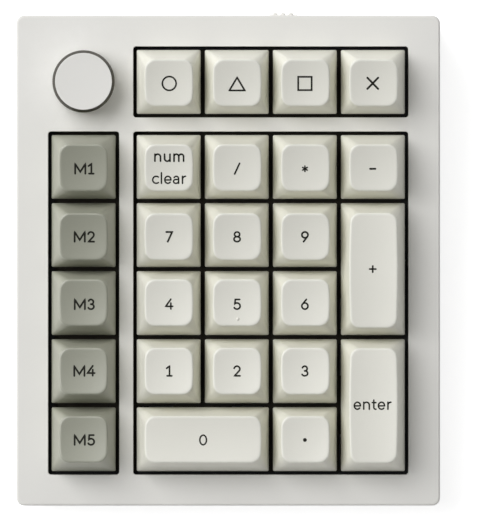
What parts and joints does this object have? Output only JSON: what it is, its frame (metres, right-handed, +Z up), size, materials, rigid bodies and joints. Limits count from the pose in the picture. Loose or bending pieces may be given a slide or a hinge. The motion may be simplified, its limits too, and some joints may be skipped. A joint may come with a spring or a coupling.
{
  "type": "numeric keypad",
  "caption": "Wireless mechanical numeric keypad: wedge-shaped metal case, sprung number and macro keys, a push-and-turn knob and a mode slider at the back.",
  "frame": {"origin": "on the desk, under the middle of the keypad's bounding box", "axes": "+X to the user's right, +Y to the back, +Z up from the desk"},
  "size_m": [0.1186, 0.1394, 0.0453],
  "materials": {
    "shell_white": "satin",
    "cream": "matte",
    "sage": "matte",
    "knob_white": "satin",
    "black_plastic": "matte",
    "plate_black": "satin",
    "steel": "satin",
    "screw_black": "satin",
    "board_black": "gloss",
    "foam_grey": "matte",
    "battery_foil": "satin",
    "rubber_black": "matte",
    "slider_white": "satin"
  },
  "bodies": {
    "case": {"top_case": "shell_white", "bottom_case": "shell_white", "switch_plate": "plate_black", "plate_gasket": "rubber_black", "switch_bank": "black_plastic", "circuit_board": "board_black", "case_foam": "foam_grey", "battery_pack": "battery_foil", "stabiliser_plus_right": "black_plastic", "stabiliser_plus_left": "black_plastic", "stabiliser_enter_right": "black_plastic", "stabiliser_enter_left": "black_plastic", "stabiliser_0_right": "black_plastic", "stabiliser_0_left": "black_plastic", "encoder_body": "black_plastic", "usb_socket": "steel", "mode_switch_body": "steel", "case_screw_1": "screw_black", "case_screw_2": "screw_black", "case_screw_3": "screw_black", "case_screw_4": "screw_black", "case_screw_5": "screw_black", "case_screw_6": "screw_black", "foot_front_left": "rubber_black", "foot_back_left": "rubber_black", "foot_front_right": "rubber_black", "foot_back_right": "rubber_black"},
    "key_circle_body": {"key_circle": "cream"},
    "key_triangle_body": {"key_triangle": "cream"},
    "key_square_body": {"key_square": "cream"},
    "key_cross_body": {"key_cross": "cream"},
    "key_m1_body": {"key_m1": "sage"},
    "key_m2_body": {"key_m2": "sage"},
    "key_m3_body": {"key_m3": "sage"},
    "key_m4_body": {"key_m4": "sage"},
    "key_m5_body": {"key_m5": "sage"},
    "key_num_clear_body": {"key_num_clear": "cream"},
    "key_divide_body": {"key_divide": "cream"},
    "key_multiply_body": {"key_multiply": "cream"},
    "key_minus_body": {"key_minus": "cream"},
    "key_7_body": {"key_7": "cream"},
    "key_8_body": {"key_8": "cream"},
    "key_9_body": {"key_9": "cream"},
    "key_4_body": {"key_4": "cream"},
    "key_5_body": {"key_5": "cream"},
    "key_6_body": {"key_6": "cream"},
    "key_1_body": {"key_1": "cream"},
    "key_2_body": {"key_2": "cream"},
    "key_3_body": {"key_3": "cream"},
    "key_plus_body": {"key_plus": "cream"},
    "key_enter_body": {"key_enter": "cream"},
    "key_0_body": {"key_0": "cream"},
    "key_point_body": {"key_point": "cream"},
    "stabiliser_plus_wire_body": {"stabiliser_plus_wire": "steel"},
    "stabiliser_enter_wire_body": {"stabiliser_enter_wire": "steel"},
    "stabiliser_0_wire_body": {"stabiliser_0_wire": "steel"},
    "encoder_plunger_body": {"encoder_plunger": "black_plastic"},
    "knob_body": {"knob": "knob_white", "encoder_shaft": "steel"},
    "mode_slider_body": {"mode_switch_slider": "slider_white"}
  },
  "joints": [
    {"name": "key_circle_press", "type": "slide", "parent": "case", "child": "key_circle_body", "axis": [0, -0.0906, 0.9959], "range_m": [-0.004, 0], "stiffness_N_per_m": 62, "springref_m": 0.0055},
    {"name": "key_triangle_press", "type": "slide", "parent": "case", "child": "key_triangle_body", "axis": [0, -0.0906, 0.9959], "range_m": [-0.004, 0], "stiffness_N_per_m": 62, "springref_m": 0.0055},
    {"name": "key_square_press", "type": "slide", "parent": "case", "child": "key_square_body", "axis": [0, -0.0906, 0.9959], "range_m": [-0.004, 0], "stiffness_N_per_m": 62, "springref_m": 0.0055},
    {"name": "key_cross_press", "type": "slide", "parent": "case", "child": "key_cross_body", "axis": [0, -0.0906, 0.9959], "range_m": [-0.004, 0], "stiffness_N_per_m": 62, "springref_m": 0.0055},
    {"name": "key_m1_press", "type": "slide", "parent": "case", "child": "key_m1_body", "axis": [0, -0.0906, 0.9959], "range_m": [-0.004, 0], "stiffness_N_per_m": 62, "springref_m": 0.0055},
    {"name": "key_m2_press", "type": "slide", "parent": "case", "child": "key_m2_body", "axis": [0, -0.0906, 0.9959], "range_m": [-0.004, 0], "stiffness_N_per_m": 62, "springref_m": 0.0055},
    {"name": "key_m3_press", "type": "slide", "parent": "case", "child": "key_m3_body", "axis": [0, -0.0906, 0.9959], "range_m": [-0.004, 0], "stiffness_N_per_m": 62, "springref_m": 0.0055},
    {"name": "key_m4_press", "type": "slide", "parent": "case", "child": "key_m4_body", "axis": [0, -0.0906, 0.9959], "range_m": [-0.004, 0], "stiffness_N_per_m": 62, "springref_m": 0.0055},
    {"name": "key_m5_press", "type": "slide", "parent": "case", "child": "key_m5_body", "axis": [0, -0.0906, 0.9959], "range_m": [-0.004, 0], "stiffness_N_per_m": 62, "springref_m": 0.0055},
    {"name": "key_num_clear_press", "type": "slide", "parent": "case", "child": "key_num_clear_body", "axis": [0, -0.0906, 0.9959], "range_m": [-0.004, 0], "stiffness_N_per_m": 62, "springref_m": 0.0055},
    {"name": "key_divide_press", "type": "slide", "parent": "case", "child": "key_divide_body", "axis": [0, -0.0906, 0.9959], "range_m": [-0.004, 0], "stiffness_N_per_m": 62, "springref_m": 0.0055},
    {"name": "key_multiply_press", "type": "slide", "parent": "case", "child": "key_multiply_body", "axis": [0, -0.0906, 0.9959], "range_m": [-0.004, 0], "stiffness_N_per_m": 62, "springref_m": 0.0055},
    {"name": "key_minus_press", "type": "slide", "parent": "case", "child": "key_minus_body", "axis": [0, -0.0906, 0.9959], "range_m": [-0.004, 0], "stiffness_N_per_m": 62, "springref_m": 0.0055},
    {"name": "key_7_press", "type": "slide", "parent": "case", "child": "key_7_body", "axis": [0, -0.0906, 0.9959], "range_m": [-0.004, 0], "stiffness_N_per_m": 62, "springref_m": 0.0055},
    {"name": "key_8_press", "type": "slide", "parent": "case", "child": "key_8_body", "axis": [0, -0.0906, 0.9959], "range_m": [-0.004, 0], "stiffness_N_per_m": 62, "springref_m": 0.0055},
    {"name": "key_9_press", "type": "slide", "parent": "case", "child": "key_9_body", "axis": [0, -0.0906, 0.9959], "range_m": [-0.004, 0], "stiffness_N_per_m": 62, "springref_m": 0.0055},
    {"name": "key_4_press", "type": "slide", "parent": "case", "child": "key_4_body", "axis": [0, -0.0906, 0.9959], "range_m": [-0.004, 0], "stiffness_N_per_m": 62, "springref_m": 0.0055},
    {"name": "key_5_press", "type": "slide", "parent": "case", "child": "key_5_body", "axis": [0, -0.0906, 0.9959], "range_m": [-0.004, 0], "stiffness_N_per_m": 62, "springref_m": 0.0055},
    {"name": "key_6_press", "type": "slide", "parent": "case", "child": "key_6_body", "axis": [0, -0.0906, 0.9959], "range_m": [-0.004, 0], "stiffness_N_per_m": 62, "springref_m": 0.0055},
    {"name": "key_1_press", "type": "slide", "parent": "case", "child": "key_1_body", "axis": [0, -0.0906, 0.9959], "range_m": [-0.004, 0], "stiffness_N_per_m": 62, "springref_m": 0.0055},
    {"name": "key_2_press", "type": "slide", "parent": "case", "child": "key_2_body", "axis": [0, -0.0906, 0.9959], "range_m": [-0.004, 0], "stiffness_N_per_m": 62, "springref_m": 0.0055},
    {"name": "key_3_press", "type": "slide", "parent": "case", "child": "key_3_body", "axis": [0, -0.0906, 0.9959], "range_m": [-0.004, 0], "stiffness_N_per_m": 62, "springref_m": 0.0055},
    {"name": "key_plus_press", "type": "slide", "parent": "case", "child": "key_plus_body", "axis": [0, -0.0906, 0.9959], "range_m": [-0.004, 0], "stiffness_N_per_m": 62, "springref_m": 0.0055},
    {"name": "key_enter_press", "type": "slide", "parent": "case", "child": "key_enter_body", "axis": [0, -0.0906, 0.9959], "range_m": [-0.004, 0], "stiffness_N_per_m": 62, "springref_m": 0.0055},
    {"name": "key_0_press", "type": "slide", "parent": "case", "child": "key_0_body", "axis": [0, -0.0906, 0.9959], "range_m": [-0.004, 0], "stiffness_N_per_m": 62, "springref_m": 0.0055},
    {"name": "key_point_press", "type": "slide", "parent": "case", "child": "key_point_body", "axis": [0, -0.0906, 0.9959], "range_m": [-0.004, 0], "stiffness_N_per_m": 62, "springref_m": 0.0055},
    {"name": "stabiliser_plus_turn", "type": "hinge", "parent": "case", "child": "stabiliser_plus_wire_body", "pos_m": [0.03198, -0.00295, 0.01864], "axis": [0, 0.9959, 0.0906], "range_deg": [0, 27.48]},
    {"name": "stabiliser_enter_turn", "type": "hinge", "parent": "case", "child": "stabiliser_enter_wire_body", "pos_m": [0.03198, -0.04089, 0.01519], "axis": [0, 0.9959, 0.0906], "range_deg": [0, 27.48]},
    {"name": "stabiliser_0_turn", "type": "hinge", "parent": "case", "child": "stabiliser_0_wire_body", "pos_m": [-0.00714, -0.04191, 0.01509], "axis": [1, 0, 0], "range_deg": [0, 27.48]},
    {"name": "knob_press", "type": "slide", "parent": "case", "child": "encoder_plunger_body", "axis": [0, -0.0906, 0.9959], "range_m": [-0.0005, 0], "stiffness_N_per_m": 2000, "springref_m": 0.0008},
    {"name": "knob_turn", "type": "hinge", "parent": "encoder_plunger_body", "child": "knob_body", "pos_m": [-0.04048, 0.04901, 0.02578], "axis": [0, -0.0906, 0.9959], "continuous": true},
    {"name": "mode_slide", "type": "slide", "parent": "case", "child": "mode_slider_body", "axis": [1, 0, 0], "range_m": [-0.0023, 0.0023]}
  ],
  "couplings": [
    {"joint": "stabiliser_plus_turn", "follows": "key_plus_press", "rad_per_m": -119.49},
    {"joint": "stabiliser_enter_turn", "follows": "key_enter_press", "rad_per_m": -119.49},
    {"joint": "stabiliser_0_turn", "follows": "key_0_press", "rad_per_m": -119.49}
  ]
}
